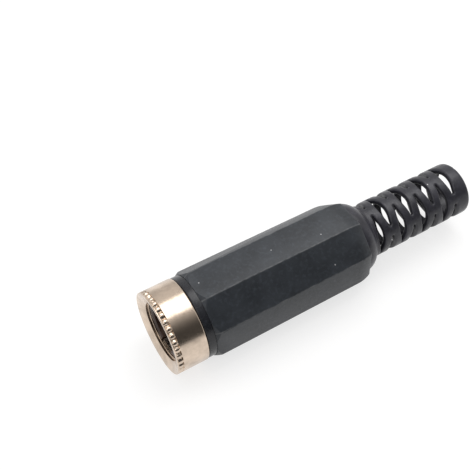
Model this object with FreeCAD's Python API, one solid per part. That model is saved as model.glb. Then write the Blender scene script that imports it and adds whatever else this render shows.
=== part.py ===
import FreeCAD, Part
import math
import os

# Inline socket for a round barrel plug, as it is wired to the end of a cable.
# Sizes are in millimetres. The origin is the centre of the mouth, +X points
# out of the mouth along the axis, and +Z is up with one flat of the cover down.
# Places along the axis are depths behind the mouth, so x is minus the depth.
# Radii are built up from the plug outwards: bore, insulator, barrel, cover.

os.makedirs("parts", exist_ok=True)
Vector = FreeCAD.Vector
ORIGIN = Vector(0, 0, 0)
AXIS = Vector(1, 0, 0)

# Moulded insulator pressed into the barrel, with the bore for the plug
plug_bore_radius = 2.9
plug_bore_end = 10.0
plug_bore_chamfer = 0.2
insulator_wall = 0.68
press_gap = 0.02
pin_floor_thickness = 2.3
insulator_flange_length = 0.8
insulator_flange_inset = 0.1

# Plated ring with the mouth, and the barrel that the cover is screwed on
barrel_wall = 0.55
barrel_end_chamfer = 0.25
undercut_depth = 0.2
undercut_length = 0.7
ring_stand = 0.85
ring_length = 3.9
ring_edge_chamfer = 0.15
mouth_rim_width = 0.3
mouth_cone_depth = 0.42
lip_height = 0.2
lip_length = 0.43

# Milled band just behind the front edge of the ring
mill_count = 36
mill_start = 0.16
mill_length = 0.56
mill_cut_width = 0.4
mill_cut_depth = 0.14

# Centre pin with its seat, its tail and its riveted head
pin_radius = 1.05
pin_tip_depth = 1.6
pin_tip_radius = 0.55
pin_taper_length = 1.05
pin_flange_stand = 0.55
pin_flange_length = 0.4
tail_radius = 0.75
tail_gap = 0.03
rivet_stand = 0.5
rivet_crown_radius = 0.7
rivet_length = 0.4

# Leaf spring that touches the plug's barrel, in a slot under the plug bore
leaf_width = 2.0
leaf_thickness = 0.3
leaf_seat_gap = 0.3
leaf_rise = 0.6
leaf_setback = 0.15
leaf_front_land = 2.0
leaf_rear_land = 1.8
leaf_side_gap = 0.1
leaf_slot_height = 1.1

# Terminals behind the insulator: clamp with its eye, washer and centre tag
strip_thickness = 0.4
clamp_gap = 0.3
clamp_eye_radius = 1.7
clamp_arm_half_angle = 26.0
clamp_arm_length = 7.4
clamp_ear_half_angle = 96.0
clamp_ear_length = 3.0
washer_inset = 0.7
washer_thickness = 0.6
hub_gap = 0.05
tag_eye_radius = 1.6
tag_width = 2.0
tag_height = 2.5
tag_length = 5.6
tag_hole_radius = 0.55

# Black cover: round collar, eight flats, vaulted rear end and shoulder
thread_gap = 0.15
cover_wall = 0.7
seat_gap = 0.05
collar_length = 0.95
collar_inset = 0.07
collar_edge_chamfer = 0.15
flats_draft = 0.07
front_trim_length = 0.55
front_trim_stand = 0.03
long_edge_trim = 0.05
wire_room = 0.9
vault_length = 1.8
vault_drop = 0.35
shoulder_step = 0.1
shoulder_length = 1.9
bore_start_setback = 0.6

# Strain relief at the rear of the cover, with three lens slots at each level
relief_bore_radius = 2.6
relief_wall = 0.74
relief_lip_chamfer = 0.25
slot_levels = 8
slots_round = 3
first_slot = 0.85
slot_pitch = 1.59
slot_width = 1.2
slot_half_angle = 52.0
slot_floor_drop = 0.4
end_collar_length = 2.17

# Angles between the eight flats, and between the slots of one level
flat_angle = 45.0
slot_angle = 360.0 / slots_round

# Radii and half widths that follow from the sizes above
insulator_radius = plug_bore_radius + insulator_wall
barrel_bore_radius = insulator_radius + press_gap
barrel_radius = barrel_bore_radius + barrel_wall
ring_radius = barrel_radius + ring_stand
mouth_radius = barrel_bore_radius - lip_height
tail_hole_radius = tail_radius + tail_gap
cover_bore_radius = barrel_radius + thread_gap
clamp_radius = cover_bore_radius - clamp_gap
clamp_inner_radius = clamp_radius - strip_thickness
front_half_width = cover_bore_radius + cover_wall
rear_half_width = front_half_width - flats_draft
vault_half_width = rear_half_width - vault_drop
shoulder_radius = vault_half_width - shoulder_step
collar_radius = front_half_width - collar_inset
relief_radius = relief_bore_radius + relief_wall
leaf_low = leaf_seat_gap - barrel_bore_radius
leaf_high = leaf_low + leaf_thickness

# Depths that follow from the sizes above
lip_end = mouth_cone_depth + lip_length
insulator_end = plug_bore_end + pin_floor_thickness
barrel_end = insulator_end - insulator_flange_length
eye_end = insulator_end + strip_thickness
washer_end = eye_end + washer_thickness
tag_eye_end = washer_end + strip_thickness
rivet_end = tag_eye_end + rivet_length
arm_end = eye_end + clamp_arm_length
clamp_end = arm_end + clamp_ear_length
cover_start = ring_length + seat_gap
flats_start = cover_start + collar_length
flats_end = clamp_end + wire_room
vault_end = flats_end + vault_length
shoulder_end = vault_end + shoulder_length
first_slot_depth = shoulder_end + first_slot
relief_end = first_slot_depth + (slot_levels - 1) * slot_pitch + end_collar_length


def bend(start, end):
    """Arc from start to end that leaves start along the axis, for turned()."""
    run = end[0] - start[0]
    rise = end[1] - start[1]
    lean = math.atan(rise / run)
    swell = math.tan(lean / 2) / 2
    return (start[0] + run / 2 + rise * swell, start[1] + rise / 2 - run * swell) + end


def bend_in(start, end):
    """Arc from start to end that arrives at end along the axis, for turned()."""
    return bend(end, start)[:2] + end


def profile(points, place):
    """Face inside an outline of points, each put in space by place().

    A point with four numbers is reached by an arc through its first pair.
    """
    edges = []
    here = points[0]
    for step in points[1:] + points[:1]:
        start = place(here[-2], here[-1])
        end = place(step[-2], step[-1])
        if len(step) == 4:
            edges.append(Part.Arc(start, place(step[0], step[1]), end).toShape())
        else:
            edges.append(Part.makeLine(start, end))
        here = step
    return Part.Face(Part.Wire(edges))


def turned(points):
    """Solid of revolution about the axis from (depth, radius) points."""
    face = profile(points, lambda depth, radius: Vector(-depth, 0, radius))
    return face.revolve(ORIGIN, AXIS, 360)


def pressed(points, width):
    """Strip or slab of a width across the axis from (depth, height) points."""
    face = profile(points, lambda depth, height: Vector(-depth, -width / 2, height))
    return face.extrude(Vector(0, width, 0))


def disc(radius, start, end):
    """Plain cylinder on the axis between two depths."""
    return Part.makeCylinder(radius, end - start, Vector(-end, 0, 0), AXIS)


def about_axis(shape, degrees):
    """Copy of a shape turned about the axis."""
    copy = shape.copy()
    copy.rotate(ORIGIN, AXIS, degrees)
    return copy


def trough(start, end, half_angle):
    """Curved strip on the clamp's radius, half_angle to each side of straight down."""
    section = profile([
        (start, -clamp_inner_radius),
        (start, -clamp_radius),
        (end, -clamp_radius),
        (end, -clamp_inner_radius),
    ], lambda depth, height: Vector(-depth, 0, height))
    return about_axis(section, -half_angle).revolve(ORIGIN, AXIS, 2 * half_angle)


def make_shell():
    """Turned and plated ring with its dished mouth, milled edge and barrel."""
    side = ring_radius
    body = turned([
        (mouth_cone_depth, mouth_radius),
        (0.0, side - mouth_rim_width),
        (0.0, side - ring_edge_chamfer / 2),
        (ring_edge_chamfer / 2, side),
        (ring_length - ring_edge_chamfer, side),
        (ring_length, side - ring_edge_chamfer),
        (ring_length, barrel_radius - undercut_depth),
        (ring_length + undercut_length, barrel_radius - undercut_depth),
        (ring_length + undercut_length, barrel_radius),
        (barrel_end - barrel_end_chamfer, barrel_radius),
        (barrel_end, barrel_radius - barrel_end_chamfer),
        (barrel_end, barrel_bore_radius),
        (lip_end, barrel_bore_radius),
        (lip_end, mouth_radius),
    ])
    notch = profile([
        (0.0, side - mill_cut_depth),
        (mill_cut_width, side + mill_cut_depth),
        (-mill_cut_width, side + mill_cut_depth),
    ], lambda across, height: Vector(-mill_start, across, height))
    cutter = notch.extrude(Vector(-mill_length, 0, 0))
    cuts = [about_axis(cutter, 360.0 * k / mill_count) for k in range(mill_count)]
    return body.cut(Part.makeCompound(cuts))


def make_insulator():
    """Moulded body with the plug bore, the leaf's slot and the pin's floor."""
    flange_radius = barrel_radius - insulator_flange_inset
    body = turned([
        (lip_end, plug_bore_radius + plug_bore_chamfer),
        (lip_end, insulator_radius),
        (barrel_end, insulator_radius),
        (barrel_end, flange_radius),
        (insulator_end, flange_radius),
        (insulator_end, tail_hole_radius),
        (plug_bore_end, tail_hole_radius),
        (plug_bore_end, plug_bore_radius),
        (lip_end + plug_bore_chamfer, plug_bore_radius),
    ])
    slot_top = leaf_low + leaf_slot_height
    slot_low = leaf_low - leaf_side_gap
    slot = pressed([
        (lip_end, -barrel_bore_radius),
        (barrel_end, -barrel_bore_radius),
        (barrel_end, slot_low),
        (insulator_end, slot_low),
        (insulator_end, slot_top),
        (lip_end, slot_top),
    ], leaf_width + 2 * leaf_side_gap)
    return body.cut(slot)


def make_centre_pin():
    """Turned pin, seated on the insulator's floor and riveted behind the tag."""
    flange_start = plug_bore_end - pin_flange_length
    return turned([
        (pin_tip_depth, 0.0),
        (pin_tip_depth, pin_tip_radius),
        (pin_tip_depth + pin_taper_length, pin_radius),
        (flange_start, pin_radius),
        (flange_start, pin_radius + pin_flange_stand),
        (plug_bore_end, pin_radius + pin_flange_stand),
        (plug_bore_end, tail_radius),
        (tag_eye_end, tail_radius),
        (tag_eye_end, tail_radius + rivet_stand),
        (rivet_end, rivet_crown_radius),
        (rivet_end, 0.0),
    ])


def make_sleeve_contact():
    """Leaf spring, bowed towards the plug and touching the clamp's eye behind."""
    start = lip_end + leaf_setback
    bow_start = start + leaf_front_land
    bow_end = plug_bore_end - leaf_rear_land
    middle = (bow_start + bow_end) / 2
    return pressed([
        (start, leaf_low),
        (bow_start, leaf_low),
        (middle, leaf_low + leaf_rise, bow_end, leaf_low),
        (insulator_end, leaf_low),
        (insulator_end, leaf_high),
        (bow_end, leaf_high),
        (middle, leaf_high + leaf_rise, bow_start, leaf_high),
        (start, leaf_high),
    ], leaf_width)


def make_cable_clamp():
    """Pressed sleeve terminal: eye, arm along the cable, and open clamp ears."""
    eye = disc(clamp_radius, insulator_end, eye_end)
    eye = eye.cut(disc(clamp_eye_radius, insulator_end, eye_end))
    arm = trough(insulator_end, arm_end, clamp_arm_half_angle)
    ears = trough(arm_end, clamp_end, clamp_ear_half_angle)
    return eye.fuse([arm, ears]).removeSplitter()


def make_insulating_washer():
    """Washer between the terminals, with a hub in the clamp's eye."""
    washer = disc(clamp_inner_radius - washer_inset, eye_end, washer_end)
    hub = disc(clamp_eye_radius - hub_gap, insulator_end, eye_end)
    bore = disc(tail_hole_radius, insulator_end, washer_end)
    return washer.fuse(hub).cut(bore).removeSplitter()


def make_centre_tag():
    """Pressed tag of the centre pin, bent back along the cable."""
    blade_low = tag_height - strip_thickness
    hole_depth = tag_eye_end + tag_length - tag_width / 2
    hole_place = Vector(-hole_depth, 0, blade_low)
    eye = disc(tag_eye_radius, washer_end, tag_eye_end)
    strip = pressed([
        (washer_end, 0.0),
        (washer_end, tag_height),
        (hole_depth, tag_height),
        (hole_depth, blade_low),
        (tag_eye_end, blade_low),
        (tag_eye_end, 0.0),
    ], tag_width)
    tip = Part.makeCylinder(tag_width / 2, strip_thickness, hole_place)
    hole = Part.makeCylinder(tag_hole_radius, strip_thickness, hole_place)
    bore = disc(tail_hole_radius, washer_end, tag_eye_end)
    return eye.fuse([strip, tip]).cut(hole).cut(bore).removeSplitter()


def flats_body():
    """Eight flats that all curve in at the rear, as the ribs of a vault do."""
    front = (flats_start, front_half_width)
    rear = (flats_end, rear_half_width)
    vault = (vault_end, vault_half_width)
    over = bend(rear, vault)
    slab_width = 3 * front_half_width
    pair = pressed([
        (front[0], -front[1]),
        front,
        rear,
        over,
        (vault[0], -vault[1]),
        (over[0], -over[1], rear[0], -rear[1]),
    ], slab_width)
    to_corner = 1 / math.cos(math.radians(flat_angle / 2))
    front_corner = front_half_width * to_corner
    front_bevel = front_corner - long_edge_trim
    rear_bevel = rear_half_width * to_corner - long_edge_trim
    bevel_pair = pressed([
        (flats_start, -front_bevel),
        (flats_start, front_bevel),
        (flats_end, rear_bevel),
        (vault_end, rear_bevel),
        (vault_end, -rear_bevel),
        (flats_end, -rear_bevel),
    ], slab_width)
    trim_start = (flats_start, front_half_width + front_trim_stand)
    body = turned([
        (flats_start, 0.0),
        trim_start,
        bend_in(trim_start, (flats_start + front_trim_length, front_corner)),
        (vault_end, front_corner),
        (vault_end, 0.0),
    ])
    for k in range(4):
        body = body.common(about_axis(pair, flat_angle * k))
        body = body.common(about_axis(bevel_pair, flat_angle * (k + 0.5)))
    return body


def cover_outside():
    """Collar, flats, shoulder and the plain tube of the strain relief."""
    shoulder = (vault_end, shoulder_radius)
    neck = (shoulder_end, relief_radius)
    round_part = turned([
        (cover_start, 0.0),
        (cover_start, collar_radius - collar_edge_chamfer),
        (cover_start + collar_edge_chamfer, collar_radius),
        (flats_start + front_trim_length, collar_radius),
        (flats_start + front_trim_length, shoulder_radius),
        shoulder,
        bend(shoulder, neck),
        (relief_end - relief_lip_chamfer, relief_radius),
        (relief_end, relief_radius - relief_lip_chamfer),
        (relief_end, 0.0),
    ])
    return flats_body().fuse(round_part)


def cover_inside():
    """Bore for the barrel and the terminals, narrowing to the cable's way."""
    return turned([
        (cover_start, 0.0),
        (cover_start, cover_bore_radius),
        (flats_end, cover_bore_radius),
        (shoulder_end - bore_start_setback, relief_bore_radius),
        (relief_end - relief_lip_chamfer, relief_bore_radius),
        (relief_end, relief_bore_radius + relief_lip_chamfer / 2),
        (relief_end, 0.0),
    ])


def lens_slots():
    """Cutters for the slots: lenses round the axis, the next level's between them."""
    half_angle = math.radians(slot_half_angle)
    half_length = relief_radius * math.sin(half_angle)
    floor = relief_radius * math.cos(half_angle) - slot_floor_drop
    cutters = []
    for level in range(slot_levels):
        depth = first_slot_depth + level * slot_pitch
        turn = slot_angle / 2 * ((level + 1) % 2)
        lens = profile([
            (depth + slot_width / 2, 0.0, depth, -half_length),
            (depth - slot_width / 2, 0.0, depth, half_length),
        ], lambda depth, side: Vector(-depth, side, floor))
        cutter = lens.extrude(Vector(0, 0, relief_radius))
        cutters += [about_axis(cutter, turn + slot_angle * k) for k in range(slots_round)]
    return Part.makeCompound(cutters)


def make_cover():
    """One black moulding: screwed cover and slotted strain relief."""
    return cover_outside().cut(cover_inside()).cut(lens_slots()).removeSplitter()


NODES = {
    "shell": make_shell,
    "insulator": make_insulator,
    "centre_pin": make_centre_pin,
    "sleeve_contact": make_sleeve_contact,
    "cable_clamp": make_cable_clamp,
    "insulating_washer": make_insulating_washer,
    "centre_tag": make_centre_tag,
    "cover": make_cover,
}

for name, make in NODES.items():
    shape = make()
    solids = shape.Solids
    if len(solids) != 1 or not shape.isValid():
        raise RuntimeError(name + " is not one valid solid")
    solids[0].exportStep(os.path.join("parts", name + ".step"))
    print(name, round(solids[0].Volume, 3), "mm3")
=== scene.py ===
import math

import bmesh
import bpy
from mathutils import Matrix, Vector


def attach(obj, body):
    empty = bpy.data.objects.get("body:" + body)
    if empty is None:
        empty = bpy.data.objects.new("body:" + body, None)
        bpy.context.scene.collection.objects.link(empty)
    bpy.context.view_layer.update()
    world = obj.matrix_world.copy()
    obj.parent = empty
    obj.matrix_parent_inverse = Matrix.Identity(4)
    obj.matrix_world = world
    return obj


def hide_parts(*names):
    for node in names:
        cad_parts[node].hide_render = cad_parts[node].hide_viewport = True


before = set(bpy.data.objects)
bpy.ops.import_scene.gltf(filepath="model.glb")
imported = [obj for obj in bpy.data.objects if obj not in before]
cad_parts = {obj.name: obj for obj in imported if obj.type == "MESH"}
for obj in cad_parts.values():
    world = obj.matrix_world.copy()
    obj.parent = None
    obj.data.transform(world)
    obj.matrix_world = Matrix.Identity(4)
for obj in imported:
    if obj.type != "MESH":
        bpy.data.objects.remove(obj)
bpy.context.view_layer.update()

# Inline socket for a barrel plug, lying on one flat of its cover.
# Depths run from the mouth along the axis to the rear, so x is minus the depth.
# Depths and radii are in millimetres here and go into the meshes as metres.
MM = 0.001
AXIS = (1.0, 0.0, 0.0)
FULL_TURN = 2 * math.pi
QUARTER_TURN = FULL_TURN / 4

# Radii and depths within which a vertex counts as being on a skin or a row
SKIN_TOLERANCE = 0.01
ROW_TOLERANCE = 0.001
KEY_DIGITS = 3

# Plated ring, its mouth and its milled edge
RING_RADIUS = 5.0
RING_END = 3.9
RING_CHAMFER = 0.15
EDGE_STEPS = 5
MOUTH_RIM_RADIUS = 4.7
MOUTH_RADIUS = 3.4
MOUTH_CONE_DEPTH = 0.42
MOUTH_STEP_RADIUS = 3.55
MOUTH_STEP_DEPTH = 0.72
LIP_END = 0.85
LIP_ROUND = 0.03
MILL_START = 0.12
MILL_END = 0.74
MILL_COUNT = 36
MILL_DEPTH = 0.22
MILL_ROWS = 10
STEPS_PER_TOOTH = 10
BEAD_WIDTH = 0.82
BEAD_LENGTH = 0.98
MILL_FADE = 4

# Extra rows that keep the shading of the plain band even at its two ends
BAND_FRONT_ROWS = (0.02, 0.06)
BAND_REAR_ROW = 0.04

# Barrel behind the ring, with the thread that the cover is screwed on
BARREL_RADIUS = 4.15
BARREL_BORE_RADIUS = 3.6
BARREL_END = 11.5
BARREL_CHAMFER = 0.25
BARREL_LAP = 0.3
BARREL_EDGE_ROUND = 0.04
BARREL_STEPS = 96
UNDERCUT_END = 4.6
UNDERCUT_RADIUS = 3.95
THREAD_PITCH = 0.75
THREAD_HEIGHT = 0.12
THREAD_STEPS = 64
THREAD_SINK = 0.03
THREAD_LEAD = 0.05
THREAD_STOP = 0.75

# Collar, bore and funnel of the cover
COVER_START = 3.95
COLLAR_RADIUS = 4.93
COLLAR_INNER_RADIUS = 4.7
COLLAR_ROUND = 0.14
COLLAR_FRONT = 4.0
COVER_STEPS = 144
COVER_BORE_RADIUS = 4.3
COVER_BORE_LEAD = 0.1
COVER_THREAD_START = 4.45
COVER_THREAD_END = 12.0
COVER_THREAD_DEPTH = 0.1
FUNNEL_OUTSIDE = ((24.8, 4.6), (25.7, 4.2), (27.3, 3.0))
FUNNEL_END = 27.1
CABLE_WAY_RADIUS = 2.6

# Eight flats, their vault at the rear and the shoulder behind them
HALF_FLAT_ANGLE = FULL_TURN / 16
FLATS_START = 4.9
FLATS_TRIM_END = 5.45
FLATS_END = 24.0
VAULT_END = 25.8
FRONT_HALF_WIDTH = 5.0
REAR_HALF_WIDTH = 4.93
VAULT_HALF_WIDTH = 4.58
SKIN_BORE_RADIUS = 4.5
LONG_EDGE_ROUND = 0.09
FLATS_LAP = 0.5
TRIM_STAND = 0.03
TRIM_CORNER = 0.05
TRIM_STEPS = 192
VAULT_LAP = (0.3, 0.2)
ARC_STEPS = 8
SHOULDER_RADIUS = 4.48
SHOULDER_END = 27.7

# Strain relief with its lens slots
RELIEF_RADIUS = 3.34
RELIEF_WALL = 0.74
RELIEF_END = 41.85
SLOT_LEVELS = 8
SLOTS_ROUND = 3
SLOT_ANGLE = FULL_TURN / SLOTS_ROUND
FIRST_SLOT = 28.55
SLOT_PITCH = 1.59
SLOT_WIDTH = 0.9
SLOT_TIP_WIDTH = 0.22
SLOT_HALF_ANGLE = 47.0
SOFTEN_LEVELS = 2
RELIEF_STEPS = 60
SHOULDER_LAP = 0.4
RIB_SHARES = (0.0, 0.35, 0.65, 1.0)
ROW_INSET = 0.3
NECK_GAP = 0.1
SLOT_TIP_MARGIN = 0.5
END_COLLAR_LEAD = 0.45
RELIEF_END_ROUND = ((0.28, 0.0), (0.1, 0.07), (0.0, 0.25))

# Camera, from a fit of the object's outlines, in millimetres
CAMERA_PLACE = Vector((17.595, 51.656, 77.42))
CAMERA_FORWARD = Vector((-0.31422, -0.5786, -0.75267))
CAMERA_UP = Vector((-0.40438, -0.6357, 0.65751))
CAMERA_LENS = 64.92
SENSOR_WIDTH = 36.0

# Moulded black: its specular level, the sizes of its patterns, the grey of dust, and the lighter
# grey of the long edges, which is partly rubbed wear and partly a painted highlight
PLASTIC_SPECULAR = 0.42
CLOUD_SIZE = 2.6
MOTTLE_SIZE = 0.42
WAVE_SIZE = 0.9
GLOSS_SPREAD = 0.07
LINT_GREY = (0.6, 0.6, 0.62)
# Lighter grey on the flats' long edges: partly rubbed wear, partly a painted highlight
EDGE_WEAR_AND_HIGHLIGHT_GREY = (0.14, 0.144, 0.15)
EDGE_WEAR_AND_HIGHLIGHT_ANGLE = 0.022
EDGE_WEAR_AND_HIGHLIGHT_SIZE = 0.9

# Floor and the point that the lamps face, in metres
MIDDLE = Vector((-0.02, 0.0, 0.0))
FLOOR_HALF = 1.5

# Brightness of the floor, and of the surroundings from their bright to their dark side
FLOOR_PAINT = 0.35
FLOOR_GLOW = 0.72
DARK_SIDE = (0.0, 0.97, 0.24)
WORLD_FADE = (0.3, 0.94, 0.75, 0.06)
WORLD_TINT = (1.0, 0.985, 0.97, 1.0)


def raw_object(name, bm):
    """Object of a finished bmesh."""
    mesh = bpy.data.meshes.new(name)
    bm.to_mesh(mesh)
    bm.free()
    piece = bpy.data.objects.new(name, mesh)
    bpy.context.scene.collection.objects.link(piece)
    return piece


def dress(piece, material, body, smooth_angle=35.0):
    """Gives a piece its finish, smooth but for its sharp edges, and lets it ride on a body."""
    piece.data.shade_smooth()
    piece.data.set_sharp_from_angle(angle=math.radians(smooth_angle))
    piece.data.materials.clear()
    piece.data.materials.append(material)
    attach(piece, body)
    return piece


def combine(piece, other, operation):
    """Applies a boolean with another object and removes that object."""
    modifier = piece.modifiers.new("Combine", "BOOLEAN")
    modifier.object = other
    modifier.operation = operation
    modifier.solver = "EXACT"
    with bpy.context.temp_override(object=piece, active_object=piece, selected_objects=[piece]):
        bpy.ops.object.modifier_apply(modifier=modifier.name)
    bpy.data.objects.remove(other)


def outline_to_bmesh(bm, outline, closed):
    """Wire of (depth, radius) points above the axis."""
    verts = [bm.verts.new((-depth * MM, 0.0, radius * MM)) for depth, radius in outline]
    followers = verts[1:] + verts[:1] if closed else verts[1:]
    edges = []
    for start, end in zip(verts, followers):
        if start.co.z > 0.0 or end.co.z > 0.0:
            edges.append(bm.edges.new((start, end)))
    return verts + edges


def spun(outline, steps, closed=True):
    """Bmesh of an outline spun once about the axis."""
    bm = bmesh.new()
    geom = outline_to_bmesh(bm, outline, closed)
    bmesh.ops.spin(
        bm, geom=geom, cent=(0, 0, 0), axis=AXIS, dvec=(0, 0, 0),
        angle=FULL_TURN, steps=steps, use_merge=True,
    )
    bmesh.ops.remove_doubles(bm, verts=bm.verts, dist=0.0001 * MM)
    bmesh.ops.recalc_face_normals(bm, faces=bm.faces)
    return bm


def round_edges(bm, radius, segments=3, sharper_than=25.0, chosen=None):
    """Rounds the sharp edges of a bmesh, or those of them that chosen() names."""
    limit = math.radians(sharper_than)
    edges = [
        edge for edge in bm.edges
        if len(edge.link_faces) == 2 and edge.calc_face_angle(0.0) > limit
        and (chosen is None or chosen(edge))
    ]
    bmesh.ops.bevel(
        bm, geom=edges, offset=radius * MM, offset_type="OFFSET", segments=segments,
        profile=0.5, affect="EDGES", clamp_overlap=True, material=-1,
    )


def add_thread(bm, start, end, root, height, tip_width=0.12, root_width=0.5):
    """Helical ridge on a root radius, outwards or, with a height below zero, inwards."""
    turns = (end - start) / THREAD_PITCH
    steps = round(turns * THREAD_STEPS)
    sink = -math.copysign(THREAD_SINK, height)
    outline = [
        (start, root + sink),
        (start + (root_width - tip_width) / 2, root + height),
        (start + (root_width + tip_width) / 2, root + height),
        (start + root_width, root + sink),
    ]
    geom = outline_to_bmesh(bm, outline, True)
    bmesh.ops.contextual_create(bm, geom=geom)
    bmesh.ops.spin(
        bm, geom=geom, cent=(0, 0, 0), axis=AXIS,
        dvec=(-(end - start) * MM / steps, 0, 0), angle=turns * FULL_TURN, steps=steps,
    )
    ends = [edge for edge in bm.edges if edge.is_boundary]
    bmesh.ops.holes_fill(bm, edges=ends, sides=8)


class Shader:
    """Small helper that wires one Principled material on Object coordinates."""

    def __init__(self, name, colour, roughness, metallic=0.0):
        self.material = bpy.data.materials.new(name)
        self.material.use_nodes = True
        self.nodes = self.material.node_tree.nodes
        self.links = self.material.node_tree.links
        self.surface = self.nodes["Principled BSDF"]
        self.surface.inputs["Base Color"].default_value = (*colour, 1.0)
        self.surface.inputs["Roughness"].default_value = roughness
        self.surface.inputs["Metallic"].default_value = metallic
        self.place = self.nodes.new("ShaderNodeTexCoord").outputs["Object"]

    def add(self, kind, inputs=None, **settings):
        node = self.nodes.new("ShaderNode" + kind)
        for key, value in settings.items():
            setattr(node, key, value)
        for key, value in (inputs or {}).items():
            if isinstance(value, bpy.types.NodeSocket):
                self.links.new(value, node.inputs[key])
            else:
                node.inputs[key].default_value = value
        return node

    def grain(self, size, detail=3.0, stretch=(1.0, 1.0, 1.0)):
        """Noise of a feature size in millimetres."""
        mapped = self.add("Mapping", {"Vector": self.place, "Scale": stretch})
        return self.add("TexNoise", {
            "Vector": mapped.outputs["Vector"], "Scale": 1 / (size * MM), "Detail": detail,
        }).outputs["Fac"]

    def spread(self, value, low, high, to_low=0.0, to_high=1.0):
        """Value from low to high brought to another range, and held there."""
        return self.add("MapRange", {
            "Value": value, "From Min": low, "From Max": high, "To Min": to_low, "To Max": to_high,
        }).outputs["Result"]

    def math(self, operation, first, second=0.0):
        return self.add("Math", {0: first, 1: second}, operation=operation).outputs["Value"]

    def between(self, amount, dark, light):
        """Colour between two colours."""
        mix = self.add("Mix", {"Factor": amount}, data_type="RGBA")
        colours = [socket for socket in mix.inputs if socket.type == "RGBA"]
        for socket, colour in zip(colours, (dark, light)):
            if isinstance(colour, bpy.types.NodeSocket):
                self.links.new(colour, socket)
            else:
                socket.default_value = (*colour, 1.0)
        return [socket for socket in mix.outputs if socket.type == "RGBA"][0]

    def set(self, name, value):
        self.links.new(value, self.surface.inputs[name])

    def bump(self, height, depth, strength=1.0, under=None):
        """Relief of a depth in millimetres, laid over another relief if one is given."""
        inputs = {"Height": height, "Distance": depth * MM, "Strength": strength}
        if under is not None:
            inputs["Normal"] = under
        return self.add("Bump", inputs).outputs["Normal"]


def scaled(colour, factor):
    """Colour times a factor."""
    return tuple(factor * part for part in colour)


def specks(shader, cell, size, share):
    """Mask of small dots, one in a share of the cells."""
    cells = shader.add("TexVoronoi", {
        "Vector": shader.place, "Scale": 1 / (cell * MM), "Randomness": 1.0,
    })
    near = shader.spread(cells.outputs["Distance"], size / cell, 0.4 * size / cell)
    pick = shader.add("SeparateColor", {"Color": cells.outputs["Color"]}).outputs["Red"]
    chosen = shader.math("LESS_THAN", pick, share)
    return shader.math("MULTIPLY", near, chosen)


def edge_wear_and_highlight_mask(shader):
    """Mask of the long edges between the eight flats, broken up as rubbed edges are; it lays
    partly rubbed wear and partly a painted highlight along them.
    """
    parts = shader.add("SeparateXYZ", {"Vector": shader.place})
    turned = shader.math("ARCTAN2", parts.outputs["Y"], parts.outputs["Z"])
    from_middle = shader.math("PINGPONG", turned, HALF_FLAT_ANGLE)
    line = shader.spread(from_middle, HALF_FLAT_ANGLE - EDGE_WEAR_AND_HIGHLIGHT_ANGLE, HALF_FLAT_ANGLE)
    rubbed_and_highlit = shader.spread(shader.grain(EDGE_WEAR_AND_HIGHLIGHT_SIZE, 4.0), 0.36, 0.7)
    return shader.math("MULTIPLY", line, rubbed_and_highlit)


def moulded_black(
    name, colour, roughness, grain_depth, grain_size=0.14, wave_depth=0.02, edge_wear_and_highlight=False,
):
    """Black moulded plastic: fine grain, cloudy tone, dust specks and, if asked, lighter long
    edges that are partly rubbed wear and partly a painted highlight.
    """
    shader = Shader(name, colour, roughness)
    shader.surface.inputs["Specular IOR Level"].default_value = PLASTIC_SPECULAR
    fine = shader.grain(grain_size, 4.0)
    cloud = shader.spread(shader.grain(CLOUD_SIZE, 2.0), 0.35, 0.7)
    mottle = shader.spread(shader.grain(MOTTLE_SIZE, 3.0), 0.5, 0.8, 0.0, 0.45)
    lint = specks(shader, cell=1.5, size=0.1, share=0.22)
    light = tuple(1.5 * part + 0.002 for part in colour)
    tone = shader.between(cloud, colour, light)
    tone = shader.between(mottle, tone, scaled(colour, 3.0))
    # Lighter grey along the long edges: partly rubbed wear, partly a painted highlight
    if edge_wear_and_highlight:
        tone = shader.between(edge_wear_and_highlight_mask(shader), tone, EDGE_WEAR_AND_HIGHLIGHT_GREY)
    shader.set("Base Color", shader.between(lint, tone, LINT_GREY))
    low, high = roughness - GLOSS_SPREAD, roughness + GLOSS_SPREAD
    shader.set("Roughness", shader.spread(fine, 0.25, 0.75, low, high))
    wavy = shader.bump(shader.grain(WAVE_SIZE, 2.0), wave_depth, 0.5)
    shader.set("Normal", shader.bump(fine, grain_depth, 1.0, wavy))
    return shader.material


def warm_nickel(name, colour, roughness):
    """Warm nickel plating on turned brass, with faint lathe rings and a little tarnish."""
    shader = Shader(name, colour, roughness, metallic=1.0)
    rings = shader.grain(0.12, 2.0, (1.0, 0.02, 0.02))
    stain = shader.grain(1.5, 4.0)
    tarnish = shader.spread(stain, 0.3, 0.62)
    shader.set("Base Color", shader.between(tarnish, scaled(colour, 0.72), colour))
    shader.set("Roughness", shader.spread(stain, 0.3, 0.75, roughness + 0.06, roughness - 0.03))
    wavy = shader.bump(shader.grain(1.6, 1.0), 0.012, 0.6)
    shader.set("Normal", shader.bump(rings, 0.0016, 1.0, wavy))
    return shader.material


def tinned_strip(name, colour, roughness):
    """Pressed and tinned contact strip, slightly mottled."""
    shader = Shader(name, colour, roughness, metallic=1.0)
    mottle = shader.grain(0.5, 4.0)
    patches = shader.spread(mottle, 0.35, 0.65)
    shader.set("Base Color", shader.between(patches, scaled(colour, 0.7), colour))
    shader.set("Roughness", shader.spread(mottle, 0.3, 0.7, roughness - 0.06, roughness + 0.1))
    shader.set("Normal", shader.bump(mottle, 0.01, 0.6))
    return shader.material


def hard_paper(name):
    """Brown hard paper board with fibres."""
    shader = Shader(name, (0.24, 0.12, 0.05), 0.55)
    fibres = shader.grain(0.3, 6.0, (1.0, 0.25, 1.0))
    shader.set("Base Color", shader.between(fibres, (0.16, 0.075, 0.03), (0.36, 0.2, 0.09)))
    shader.set("Normal", shader.bump(fibres, 0.01, 0.7))
    return shader.material


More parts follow.
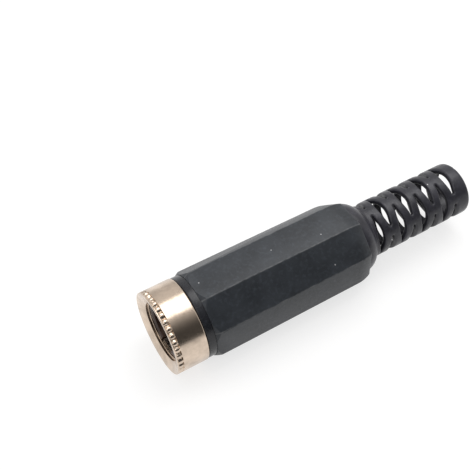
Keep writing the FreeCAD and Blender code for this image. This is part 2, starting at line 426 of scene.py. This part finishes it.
FLATS_BLACK = moulded_black(
    "flats_black", (0.0235, 0.0275, 0.0335), 0.42,
    grain_depth=0.009, grain_size=0.2, wave_depth=0.03, edge_wear_and_highlight=True,
)
COLLAR_BLACK = moulded_black(
    "collar_black", (0.0145, 0.0155, 0.0195), 0.26, grain_depth=0.004, grain_size=0.3,
)
RELIEF_BLACK = moulded_black(
    "relief_black", (0.0245, 0.0245, 0.032), 0.33,
    grain_depth=0.014, grain_size=0.32, wave_depth=0.045,
)
# Socket plastic: black, tinted reddish brown as a painted warm reflection of the plated ring
# inside the mouth
SOCKET_BLACK_PAINTED_WARMTH = moulded_black("socket_black_painted_warm_reflection", (0.05, 0.028, 0.022), 0.24, 0.002)
RING_NICKEL = warm_nickel("ring_nickel", (0.7, 0.575, 0.465), 0.2)
PIN_NICKEL = warm_nickel("pin_nickel", (0.76, 0.68, 0.56), 0.2)
CONTACT_TIN = tinned_strip("contact_tin", (0.78, 0.73, 0.66), 0.26)
WASHER_BOARD = hard_paper("washer_board")


def make_ring():
    """Plated ring: dished mouth, lip, milled edge and plain band, all turned in one."""
    mill_rows = [
        (MILL_START + (MILL_END - MILL_START) * row / MILL_ROWS, RING_RADIUS)
        for row in range(MILL_ROWS + 1)
    ]
    rear_edge = [
        (
            RING_END - RING_CHAMFER * (1 - math.sin(angle)),
            RING_RADIUS - RING_CHAMFER * (1 - math.cos(angle)),
        )
        for angle in (QUARTER_TURN * step / EDGE_STEPS for step in range(EDGE_STEPS + 1))
    ]
    outline = [
        (MOUTH_STEP_DEPTH + LIP_ROUND, MOUTH_RADIUS),
        (MOUTH_STEP_DEPTH, MOUTH_RADIUS + LIP_ROUND),
        (MOUTH_STEP_DEPTH, MOUTH_STEP_RADIUS),
        (MOUTH_CONE_DEPTH + LIP_ROUND, MOUTH_STEP_RADIUS),
        (MOUTH_CONE_DEPTH, MOUTH_STEP_RADIUS + LIP_ROUND),
        (0.0, MOUTH_RIM_RADIUS),
        (0.0, RING_RADIUS - RING_CHAMFER / 2),
        (RING_CHAMFER / 2, RING_RADIUS),
        *mill_rows,
        *((MILL_END + row, RING_RADIUS) for row in BAND_FRONT_ROWS),
        (RING_END - RING_CHAMFER - BAND_REAR_ROW, RING_RADIUS),
        *rear_edge,
        (RING_END, BARREL_BORE_RADIUS),
        (LIP_END, BARREL_BORE_RADIUS),
        (LIP_END, MOUTH_RADIUS + LIP_ROUND),
        (LIP_END - LIP_ROUND, MOUTH_RADIUS),
    ]
    bm = spun(outline, MILL_COUNT * STEPS_PER_TOOTH)
    mill_teeth(bm)
    return dress(raw_object("plated_ring", bm), RING_NICKEL, "core", smooth_angle=40.0)


def mill_teeth(bm):
    """Presses the milled band into a row of small rounded beads."""
    middle = (MILL_START + MILL_END) / 2
    half = (MILL_END - MILL_START) / 2
    for vert in bm.verts:
        depth = -vert.co.x / MM
        across = math.hypot(vert.co.y, vert.co.z)
        on_band = MILL_START - ROW_TOLERANCE < depth < MILL_END + ROW_TOLERANCE
        if not on_band or across < (RING_RADIUS - SKIN_TOLERANCE) * MM:
            continue
        angle = math.atan2(vert.co.y, vert.co.z)
        along = (depth - middle) / half
        tooth = 2 * ((angle / FULL_TURN * MILL_COUNT) % 1.0) - 1
        bead = math.sqrt(max(0.0, 1 - (tooth / BEAD_WIDTH) ** 2 - (along / BEAD_LENGTH) ** 4))
        edge = min(1.0, MILL_FADE * (1 - abs(along)))
        sunk = MILL_DEPTH * edge * (1 - bead)
        scale = (RING_RADIUS - sunk) / RING_RADIUS
        vert.co.y *= scale
        vert.co.z *= scale


def make_barrel():
    """Threaded barrel behind the ring, with its undercut."""
    bm = spun([
        (RING_END - BARREL_LAP, UNDERCUT_RADIUS),
        (UNDERCUT_END, UNDERCUT_RADIUS),
        (UNDERCUT_END, BARREL_RADIUS),
        (BARREL_END - BARREL_CHAMFER, BARREL_RADIUS),
        (BARREL_END, BARREL_RADIUS - BARREL_CHAMFER),
        (BARREL_END, BARREL_BORE_RADIUS),
        (RING_END - BARREL_LAP, BARREL_BORE_RADIUS),
    ], BARREL_STEPS)
    round_edges(bm, BARREL_EDGE_ROUND, segments=2)
    thread_start = UNDERCUT_END + THREAD_LEAD
    add_thread(bm, thread_start, BARREL_END - THREAD_STOP, BARREL_RADIUS, THREAD_HEIGHT)
    bmesh.ops.recalc_face_normals(bm, faces=bm.faces)
    return dress(raw_object("threaded_barrel", bm), RING_NICKEL, "core")


def arc_rows(start, end, count):
    """Points of an arc from start to end that leaves start along the axis."""
    run = end[0] - start[0]
    drop = start[1] - end[1]
    radius = (run * run + drop * drop) / (2 * drop)
    sweep = math.asin(run / radius)
    angles = [sweep * k / count for k in range(count + 1)]
    return [
        (start[0] + radius * math.sin(angle), start[1] - radius * (1 - math.cos(angle)))
        for angle in angles
    ]


def drawn_out(bm, face, rows):
    """Draws a closed prism out of an end face, row by row of depth and half width."""
    first = face
    for before, after in zip(rows, rows[1:]):
        made = bmesh.ops.extrude_face_region(bm, geom=[face])["geom"]
        if face is not first:
            bmesh.ops.delete(bm, geom=[face], context="FACES_ONLY")
        face = [item for item in made if isinstance(item, bmesh.types.BMFace)][0]
        scale = after[1] / before[1]
        bmesh.ops.scale(bm, vec=(1, scale, scale), verts=face.verts)
        bmesh.ops.translate(bm, verts=face.verts, vec=((before[0] - after[0]) * MM, 0, 0))


def runs_along(edge):
    """Whether an edge runs more along the axis than round it."""
    step = edge.verts[1].co - edge.verts[0].co
    return abs(step.x) > 0.5 * step.length


def make_flats():
    """Eight flats with rounded long edges, vaulted in at the rear and coned in front."""
    rows = [(FLATS_START - FLATS_LAP, FRONT_HALF_WIDTH)]
    rows += arc_rows((FLATS_END, REAR_HALF_WIDTH), (VAULT_END, VAULT_HALF_WIDTH), ARC_STEPS)
    rows.append((VAULT_END + VAULT_LAP[0], VAULT_HALF_WIDTH - VAULT_LAP[1]))
    to_corner = 1 / math.cos(HALF_FLAT_ANGLE)
    bm = bmesh.new()
    bmesh.ops.create_circle(bm, cap_ends=True, segments=8, radius=rows[0][1] * to_corner * MM)
    turn = Matrix.Rotation(QUARTER_TURN, 4, "Y") @ Matrix.Rotation(HALF_FLAT_ANGLE, 4, "Z")
    bmesh.ops.transform(bm, matrix=turn, verts=bm.verts)
    bmesh.ops.translate(bm, verts=bm.verts, vec=(-rows[0][0] * MM, 0, 0))
    drawn_out(bm, bm.faces[:][0], rows)
    bmesh.ops.recalc_face_normals(bm, faces=bm.faces)
    round_edges(bm, LONG_EDGE_ROUND, chosen=runs_along)
    flats = raw_object("cover_flats", bm)
    trim = spun([
        (FLATS_START, SKIN_BORE_RADIUS),
        (FLATS_START, FRONT_HALF_WIDTH + TRIM_STAND),
        (FLATS_TRIM_END, FRONT_HALF_WIDTH * to_corner - TRIM_CORNER),
        (VAULT_END, FRONT_HALF_WIDTH * to_corner),
        (VAULT_END, SKIN_BORE_RADIUS),
    ], TRIM_STEPS)
    combine(flats, raw_object("trim", trim), "INTERSECT")
    return dress(flats, FLATS_BLACK, "screw_cover", smooth_angle=18.0)


def at_collar_front(edge):
    """Whether an edge is on the front face of the collar."""
    return max(vert.co.x for vert in edge.verts) > -COLLAR_FRONT * MM


def make_cover_body():
    """Round collar, the bore with its thread, and the funnel to the cable's way."""
    bm = spun([
        (COVER_START, COVER_BORE_RADIUS + COVER_BORE_LEAD),
        (COVER_START, COLLAR_RADIUS),
        (FLATS_TRIM_END, COLLAR_RADIUS),
        (FLATS_TRIM_END, COLLAR_INNER_RADIUS),
        *FUNNEL_OUTSIDE,
        (FUNNEL_END, CABLE_WAY_RADIUS),
        (FLATS_END, COVER_BORE_RADIUS),
        (COVER_START + COVER_BORE_LEAD, COVER_BORE_RADIUS),
    ], COVER_STEPS)
    round_edges(bm, COLLAR_ROUND, segments=4, sharper_than=40.0, chosen=at_collar_front)
    add_thread(
        bm, COVER_THREAD_START, COVER_THREAD_END, COVER_BORE_RADIUS, -COVER_THREAD_DEPTH,
    )
    bmesh.ops.recalc_face_normals(bm, faces=bm.faces)
    return dress(raw_object("cover_collar", bm), COLLAR_BLACK, "screw_cover")


def slot_half_width(angle):
    """Half the width of a lens slot at an angle from its middle, two crossing arcs."""
    half_length = RELIEF_RADIUS * math.sin(math.radians(SLOT_HALF_ANGLE))
    half_width = SLOT_WIDTH / 2
    arc = (half_length ** 2 + half_width ** 2) / (2 * half_width)
    side = RELIEF_RADIUS * math.sin(angle)
    if abs(side) >= half_length:
        return SLOT_TIP_WIDTH / 2
    return max(SLOT_TIP_WIDTH / 2, math.sqrt(arc ** 2 - side ** 2) - (arc - half_width))


def from_slot(level, angle):
    """Angle from the middle of the nearest slot of a level, odd levels having one on top."""
    turned = angle + (SLOT_ANGLE / 2 if level % 2 == 0 else 0.0)
    return (turned + SLOT_ANGLE / 2) % SLOT_ANGLE - SLOT_ANGLE / 2


def slot_edge(level, side, angle):
    """Depth of the front (-1) or rear (1) edge of a level's slots at an angle."""
    middle = FIRST_SLOT + level * SLOT_PITCH
    return middle + side * slot_half_width(from_slot(level, angle))


def make_relief():
    """Shoulder and strain relief: a tube whose slots leave a lattice of soft ribs."""
    last = SLOT_LEVELS - 1
    shoulder = arc_rows((VAULT_END, SHOULDER_RADIUS), (SHOULDER_END, RELIEF_RADIUS), ARC_STEPS)
    outline = [(VAULT_END - SHOULDER_LAP, SHOULDER_RADIUS), *shoulder]
    ribs = {}
    for level in range(-1, SLOT_LEVELS):
        for share in RIB_SHARES:
            if level == -1 and share == 0.0 or level == last and share == 1.0:
                continue
            middle = FIRST_SLOT + level * SLOT_PITCH
            nominal = middle + ROW_INSET + share * (SLOT_PITCH - 2 * ROW_INSET)
            if level == -1:
                nominal = SHOULDER_END + NECK_GAP + ROW_INSET * share
            outline.append((nominal, RELIEF_RADIUS))
            ribs[round(nominal, KEY_DIGITS)] = (level, share)
    outline += [(RELIEF_END - back, RELIEF_RADIUS - drop) for back, drop in RELIEF_END_ROUND]
    bm = spun(outline, RELIEF_STEPS, closed=False)
    cut_slots(bm, ribs)
    thicken_inwards(bm, RELIEF_WALL)
    relief = raw_object("strain_relief", bm)
    soften = relief.modifiers.new("Soften", "SUBSURF")
    soften.levels = SOFTEN_LEVELS
    soften.render_levels = SOFTEN_LEVELS
    return dress(relief, RELIEF_BLACK, "screw_cover", smooth_angle=180.0)


def thicken_inwards(bm, wall):
    """Turns an open skin about the axis into a closed wall below it."""
    outside = set(bm.verts)
    bmesh.ops.extrude_face_region(bm, geom=bm.faces[:], use_keep_orig=True)
    for vert in bm.verts:
        if vert not in outside:
            across = math.hypot(vert.co.y, vert.co.z)
            scale = (across - wall * MM) / across
            vert.co.y *= scale
            vert.co.z *= scale
    bmesh.ops.recalc_face_normals(bm, faces=bm.faces)


def row_of(vert, ribs):
    """Rib and share of the row that a vertex is on, or None."""
    return ribs.get(round(-vert.co.x / MM, KEY_DIGITS))


def cut_slots(bm, ribs):
    """Takes the slots' faces out and moves the rows of the ribs to the slots' edges."""
    half_angle = math.radians(SLOT_HALF_ANGLE + SLOT_TIP_MARGIN)
    gone = []
    for face in bm.faces:
        rows = {row_of(vert, ribs) for vert in face.verts}
        if None in rows or len(rows) != 2:
            continue
        first, second = sorted(rows)
        if first[1] != 1.0 or second[1] != 0.0:
            continue
        centre = face.calc_center_median()
        angle = math.atan2(centre.y, centre.z)
        if abs(from_slot(second[0], angle)) < half_angle:
            gone.append(face)
    for vert in bm.verts:
        row = row_of(vert, ribs)
        if row is None:
            continue
        level, share = row
        angle = math.atan2(vert.co.y, vert.co.z)
        start = SHOULDER_END if level == -1 else slot_edge(level, 1, angle)
        end = RELIEF_END - END_COLLAR_LEAD
        if level < SLOT_LEVELS - 1:
            end = slot_edge(level + 1, -1, angle)
        vert.co.x = -(start + share * (end - start)) * MM
    bmesh.ops.delete(bm, geom=gone, context="FACES")


def make_camera():
    """Camera at the place that the fit of the photograph's outlines gave."""
    right = CAMERA_FORWARD.cross(CAMERA_UP).normalized()
    up = right.cross(CAMERA_FORWARD).normalized()
    turn = Matrix((right, up, -CAMERA_FORWARD)).transposed()
    data = bpy.data.cameras.new("view")
    data.sensor_width = SENSOR_WIDTH
    data.lens = CAMERA_LENS
    data.clip_start = MM
    camera = bpy.data.objects.new("view", data)
    camera.matrix_world = Matrix.Translation(CAMERA_PLACE * MM) @ turn.to_4x4()
    bpy.context.scene.collection.objects.link(camera)
    bpy.context.scene.camera = camera


def make_floor():
    """White floor that the camera and reflections see as white, with the soft shadow kept."""
    bm = bmesh.new()
    bmesh.ops.create_grid(bm, x_segments=8, y_segments=8, size=FLOOR_HALF)
    bmesh.ops.translate(bm, verts=bm.verts, vec=(0, 0, -RING_RADIUS * MM))
    floor = raw_object("floor", bm)
    material = bpy.data.materials.new("floor_white")
    material.use_nodes = True
    nodes = material.node_tree.nodes
    links = material.node_tree.links
    nodes.remove(nodes["Principled BSDF"])
    paint = nodes.new("ShaderNodeBsdfDiffuse")
    paint.inputs["Color"].default_value = (FLOOR_PAINT, FLOOR_PAINT, FLOOR_PAINT, 1)
    glow = nodes.new("ShaderNodeEmission")
    glow.inputs["Color"].default_value = (1, 1, 1, 1)
    rays = nodes.new("ShaderNodeLightPath")
    seen = nodes.new("ShaderNodeMath")
    seen.operation = "MAXIMUM"
    links.new(rays.outputs["Is Camera Ray"], seen.inputs[0])
    links.new(rays.outputs["Is Glossy Ray"], seen.inputs[1])
    through = nodes.new("ShaderNodeMath")
    through.operation = "MAXIMUM"
    links.new(seen.outputs[0], through.inputs[0])
    links.new(rays.outputs["Is Transmission Ray"], through.inputs[1])
    level = nodes.new("ShaderNodeMath")
    level.operation = "MULTIPLY"
    level.inputs[1].default_value = FLOOR_GLOW
    links.new(through.outputs[0], level.inputs[0])
    links.new(level.outputs[0], glow.inputs["Strength"])
    both = nodes.new("ShaderNodeAddShader")
    links.new(paint.outputs[0], both.inputs[0])
    links.new(glow.outputs[0], both.inputs[1])
    links.new(both.outputs[0], nodes["Material Output"].inputs["Surface"])
    floor.data.materials.append(material)


def make_world():
    """Plain studio surroundings, dark low down on the near side, and white in the picture."""
    world = bpy.data.worlds.new("studio")
    bpy.context.scene.world = world
    world.use_nodes = True
    nodes = world.node_tree.nodes
    links = world.node_tree.links
    place = nodes.new("ShaderNodeTexCoord")
    dark_side = nodes.new("ShaderNodeVectorMath")
    dark_side.operation = "DOT_PRODUCT"
    dark_side.inputs[1].default_value = DARK_SIDE
    links.new(place.outputs["Generated"], dark_side.inputs[0])
    ramp = nodes.new("ShaderNodeMapRange")
    ramp.interpolation_type = "SMOOTHSTEP"
    for name, value in zip(("From Min", "From Max", "To Min", "To Max"), WORLD_FADE):
        ramp.inputs[name].default_value = value
    links.new(dark_side.outputs["Value"], ramp.inputs["Value"])
    rays = nodes.new("ShaderNodeLightPath")
    strength = nodes.new("ShaderNodeMath")
    strength.operation = "MAXIMUM"
    links.new(ramp.outputs["Result"], strength.inputs[0])
    links.new(rays.outputs["Is Camera Ray"], strength.inputs[1])
    links.new(strength.outputs[0], nodes["Background"].inputs["Strength"])
    nodes["Background"].inputs["Color"].default_value = WORLD_TINT


def make_lamp(name, towards, distance, size, power):
    """Square softbox in a direction from the object, facing it."""
    data = bpy.data.lights.new(name, "AREA")
    data.shape = "SQUARE"
    data.size = size
    data.energy = power
    lamp = bpy.data.objects.new(name, data)
    direction = Vector(towards).normalized()
    lamp.location = MIDDLE + direction * distance
    lamp.rotation_euler = direction.to_track_quat("Z", "Y").to_euler()
    bpy.context.scene.collection.objects.link(lamp)


def give(node, material):
    """Gives a carried-over node its finish."""
    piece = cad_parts[node]
    piece.data.materials.clear()
    piece.data.materials.append(material)


ring = make_ring()
barrel = make_barrel()
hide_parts("shell")
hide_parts("shell")

flats = make_flats()
collar = make_cover_body()
relief = make_relief()
for part in (flats, collar, relief):
    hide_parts("cover")

give("insulator", SOCKET_BLACK_PAINTED_WARMTH)
give("centre_pin", PIN_NICKEL)
give("sleeve_contact", CONTACT_TIN)
give("cable_clamp", CONTACT_TIN)
give("centre_tag", CONTACT_TIN)
give("insulating_washer", WASHER_BOARD)

make_floor()
make_world()
make_lamp("softbox", towards=(-0.31, -0.2, 0.92), distance=0.5, size=0.34, power=1.0)
make_lamp("fill", towards=(0.6, 0.5, 1.2), distance=0.6, size=0.3, power=0.35)
make_camera()
bpy.context.scene.view_settings.view_transform = "Standard"
